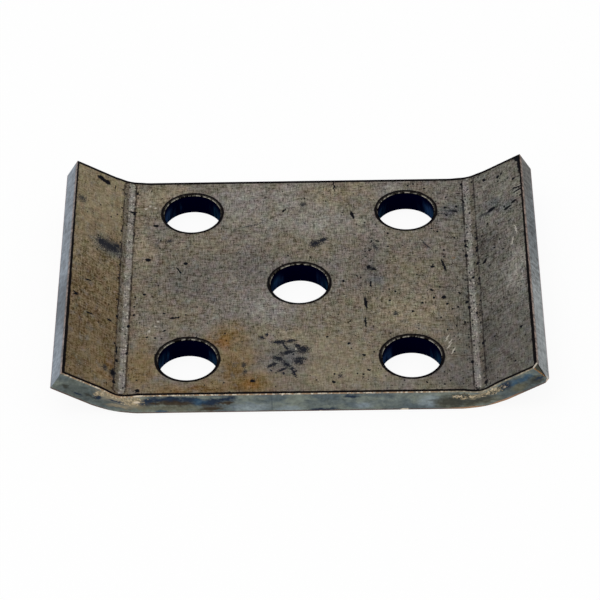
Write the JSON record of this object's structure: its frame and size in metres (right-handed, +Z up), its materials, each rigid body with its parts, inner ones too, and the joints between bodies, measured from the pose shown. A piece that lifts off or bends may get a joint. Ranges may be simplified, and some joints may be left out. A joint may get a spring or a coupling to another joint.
{
  "type": "u-bolt tie plate",
  "caption": "Thick steel plate folded up along two opposite sides, with a square pattern of bolt holes and a centre hole, that clamps a leaf spring to an axle with U-bolts.",
  "frame": {"origin": "middle of the flat underside, on the axis of the centre hole", "axes": "+X across the spring from wing to wing, +Y along the spring away from the viewer, +Z up out of the seat between the wings"},
  "size_m": [0.1254, 0.084, 0.0144],
  "materials": {
    "bare_steel": "bare hot-rolled steel, oiled and scuffed, with blue-grey sheared edges"
  },
  "bodies": {
    "root": {"tie_plate": "bare_steel"}
  },
  "joints": []
}
